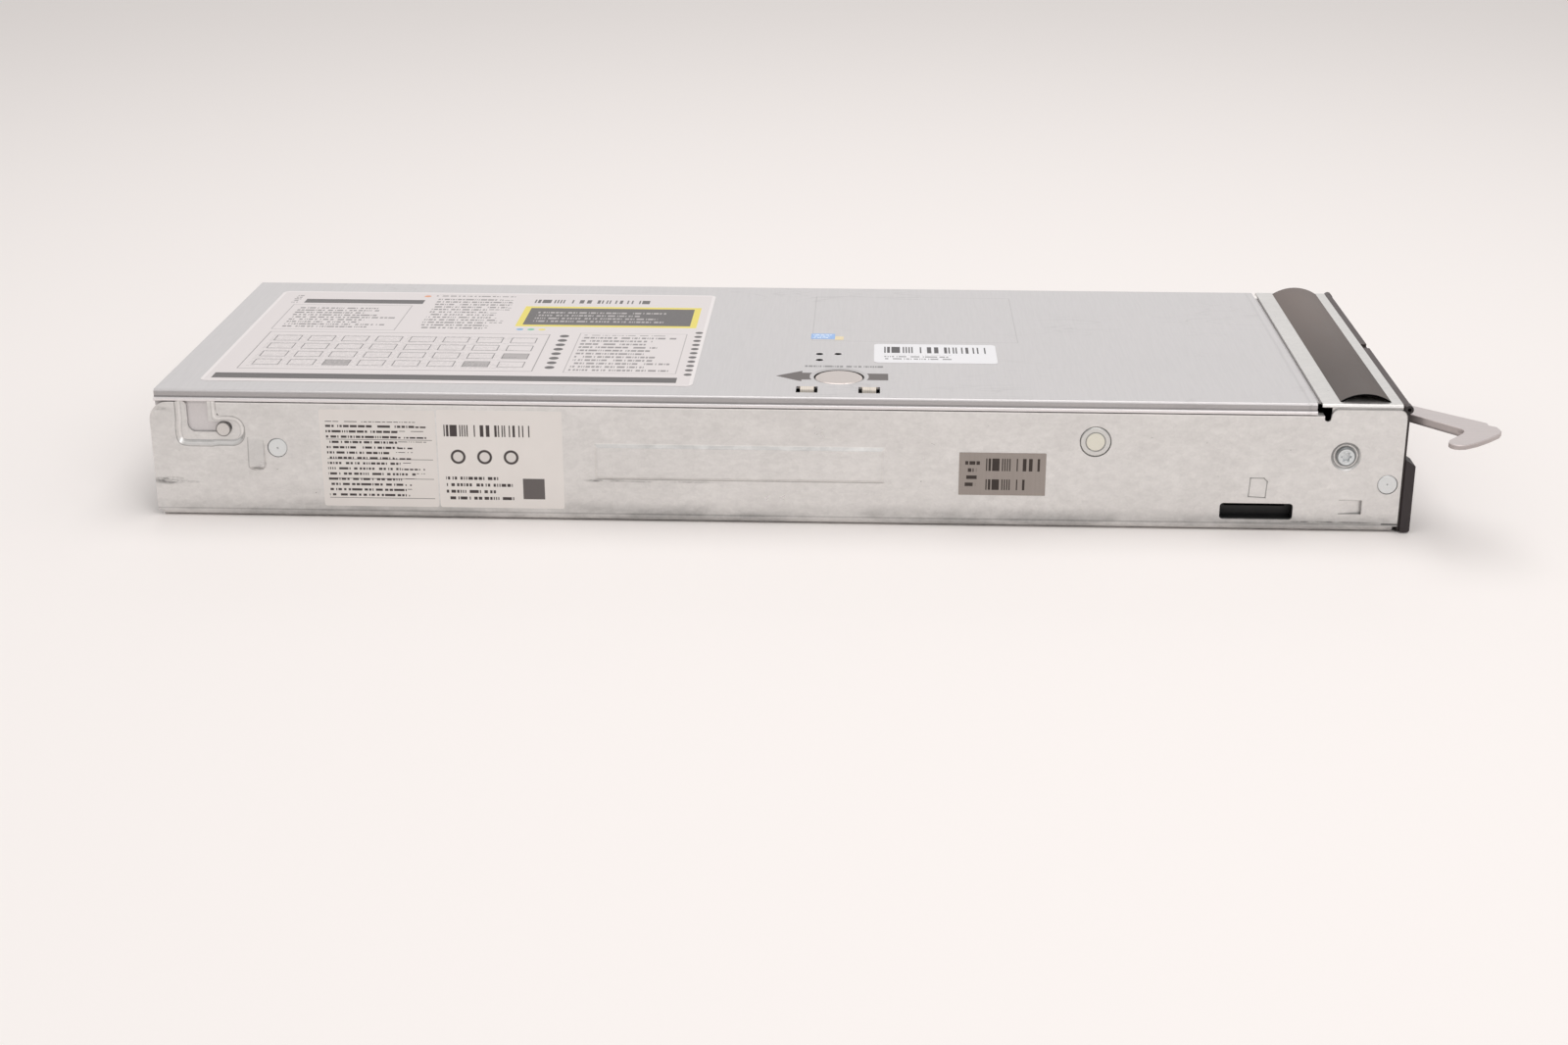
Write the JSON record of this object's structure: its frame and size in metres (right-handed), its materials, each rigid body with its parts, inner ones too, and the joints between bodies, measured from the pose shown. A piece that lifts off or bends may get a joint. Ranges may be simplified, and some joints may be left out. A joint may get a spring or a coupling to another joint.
{
  "type": "blade server",
  "caption": "Half-height blade server: folded steel chassis with a bayonet hood, front bezel, swing-out ejector lever, hot-swap drive carriers and a populated system board.",
  "frame": {"origin": "middle of the sheet metal body, on the underside of its floor", "axes": "+X from the rear connectors to the front bezel, +Y from the near wall to the far wall, +Z from the floor to the hood"},
  "size_m": [0.5479, 0.2149, 0.0575],
  "materials": {
    "galvanised_sheet": "galvanised, light spangle",
    "hood_sheet": "pre-coated satin",
    "zinc_hardware": "zinc plated",
    "lever_metal": "satin cast",
    "gasket_strip": "satin dark strip",
    "bezel_plastic": "fine texture",
    "tab_plastic": "smooth",
    "accent_plastic": "fine texture",
    "clear_plastic": "clear",
    "carrier_plastic": "fine texture",
    "connector_black": "moulded",
    "socket_plastic": "moulded",
    "board_green": "solder mask",
    "fin_metal": "stamped fins",
    "drive_case": "cast and machined",
    "spring_steel": "bright wire",
    "port_shell": "nickel plated",
    "coil_grey": "pressed powder"
  },
  "bodies": {
    "chassis": {"base_pan": "galvanised_sheet", "hood_catch_bracket": "galvanised_sheet", "front_plate": "galvanised_sheet", "arched_gasket": "gasket_strip", "front_bezel": "bezel_plastic", "vent_grille": "zinc_hardware", "tab_housing": "bezel_plastic", "light_pipes": "clear_plastic", "front_button_board": "board_green", "front_port_connector": "connector_black", "lever_bracket": "galvanised_sheet", "lever_pivot_pin": "zinc_hardware", "wall_screws": "zinc_hardware", "flush_rivets": "zinc_hardware", "ring_studs": "zinc_hardware", "rear_brace": "galvanised_sheet", "middle_brace": "galvanised_sheet", "drive_cage": "galvanised_sheet", "drive_backplane": "board_green", "backplane_connectors": "connector_black", "system_board": "board_green", "board_standoffs": "zinc_hardware", "board_screws": "zinc_hardware", "processor_sockets": "zinc_hardware", "processors": "zinc_hardware", "heat_sink_1": "fin_metal", "heat_sink_2": "fin_metal", "heat_sink_screws": "zinc_hardware", "memory_sockets": "socket_plastic", "memory_modules": "board_green", "chipset_heat_sink": "fin_metal", "mezzanine_connectors": "connector_black", "controller_card": "board_green", "controller_card_connector": "connector_black", "card_socket": "port_shell", "internal_usb_socket": "port_shell", "coin_cell": "zinc_hardware", "coin_cell_holder": "connector_black", "rear_signal_connector": "connector_black", "rear_power_connector": "connector_black", "inductors": "coil_grey"},
    "hood": {"hood": "hood_sheet", "bayonet_pins": "zinc_hardware", "hood_latch_cup": "galvanised_sheet", "hood_button_spring": "spring_steel"},
    "hood_button": {"hood_release_button": "hood_sheet"},
    "lever": {"ejector_lever": "lever_metal"},
    "lever_button": {"lever_release_button": "tab_plastic"},
    "power_key": {"power_button": "tab_plastic"},
    "pull_tab": {"serial_pull_tab": "tab_plastic"},
    "carrier_1": {"drive_carrier_1": "carrier_plastic", "disk_drive_1": "drive_case", "handle_pin_1": "zinc_hardware"},
    "carrier_2": {"drive_carrier_2": "carrier_plastic", "disk_drive_2": "drive_case", "handle_pin_2": "zinc_hardware"},
    "handle_1": {"carrier_handle_1": "carrier_plastic"},
    "handle_2": {"carrier_handle_2": "carrier_plastic"},
    "carrier_key_1": {"carrier_button_1": "accent_plastic"},
    "carrier_key_2": {"carrier_button_2": "accent_plastic"}
  },
  "joints": [
    {"name": "lever_hinge", "type": "hinge", "parent": "chassis", "child": "lever", "pos_m": [0.251, -0.0675, 0.047], "axis": [0, 0, 1], "range_deg": [0, 132]},
    {"name": "lever_button_press", "type": "slide", "parent": "chassis", "child": "lever_button", "axis": [-1, 0, 0], "range_m": [0, 0.002], "stiffness_N_per_m": 400, "springref_m": -0.003},
    {"name": "hood_slide", "type": "slide", "parent": "chassis", "child": "hood", "axis": [-1, 0, 0], "range_m": [0, 0.0102]},
    {"name": "hood_button_press", "type": "slide", "parent": "hood", "child": "hood_button", "axis": [0, 0, -1], "range_m": [0, 0.002], "stiffness_N_per_m": 600, "springref_m": -0.003, "deforming": ["hood_button_spring"]},
    {"name": "power_button_press", "type": "slide", "parent": "chassis", "child": "power_key", "axis": [-1, 0, 0], "range_m": [0, 0.001], "stiffness_N_per_m": 500, "springref_m": -0.003},
    {"name": "pull_tab_slide", "type": "slide", "parent": "chassis", "child": "pull_tab", "axis": [1, 0, 0], "range_m": [0, 0.03]},
    {"name": "carrier_1_slide", "type": "slide", "parent": "chassis", "child": "carrier_1", "axis": [1, 0, 0], "range_m": [0, 0.1]},
    {"name": "handle_1_hinge", "type": "hinge", "parent": "carrier_1", "child": "handle_1", "pos_m": [0.2588, 0.0785, 0.015], "axis": [0, 0, 1], "range_deg": [0, 60]},
    {"name": "carrier_button_1_press", "type": "slide", "parent": "carrier_1", "child": "carrier_key_1", "axis": [-1, 0, 0], "range_m": [0, 0.0015], "stiffness_N_per_m": 300, "springref_m": -0.003},
    {"name": "carrier_2_slide", "type": "slide", "parent": "chassis", "child": "carrier_2", "axis": [1, 0, 0], "range_m": [0, 0.1]},
    {"name": "handle_2_hinge", "type": "hinge", "parent": "carrier_2", "child": "handle_2", "pos_m": [0.2588, 0.0785, 0.0375], "axis": [0, 0, 1], "range_deg": [0, 60]},
    {"name": "carrier_button_2_press", "type": "slide", "parent": "carrier_2", "child": "carrier_key_2", "axis": [-1, 0, 0], "range_m": [0, 0.0015], "stiffness_N_per_m": 300, "springref_m": -0.003}
  ]
}
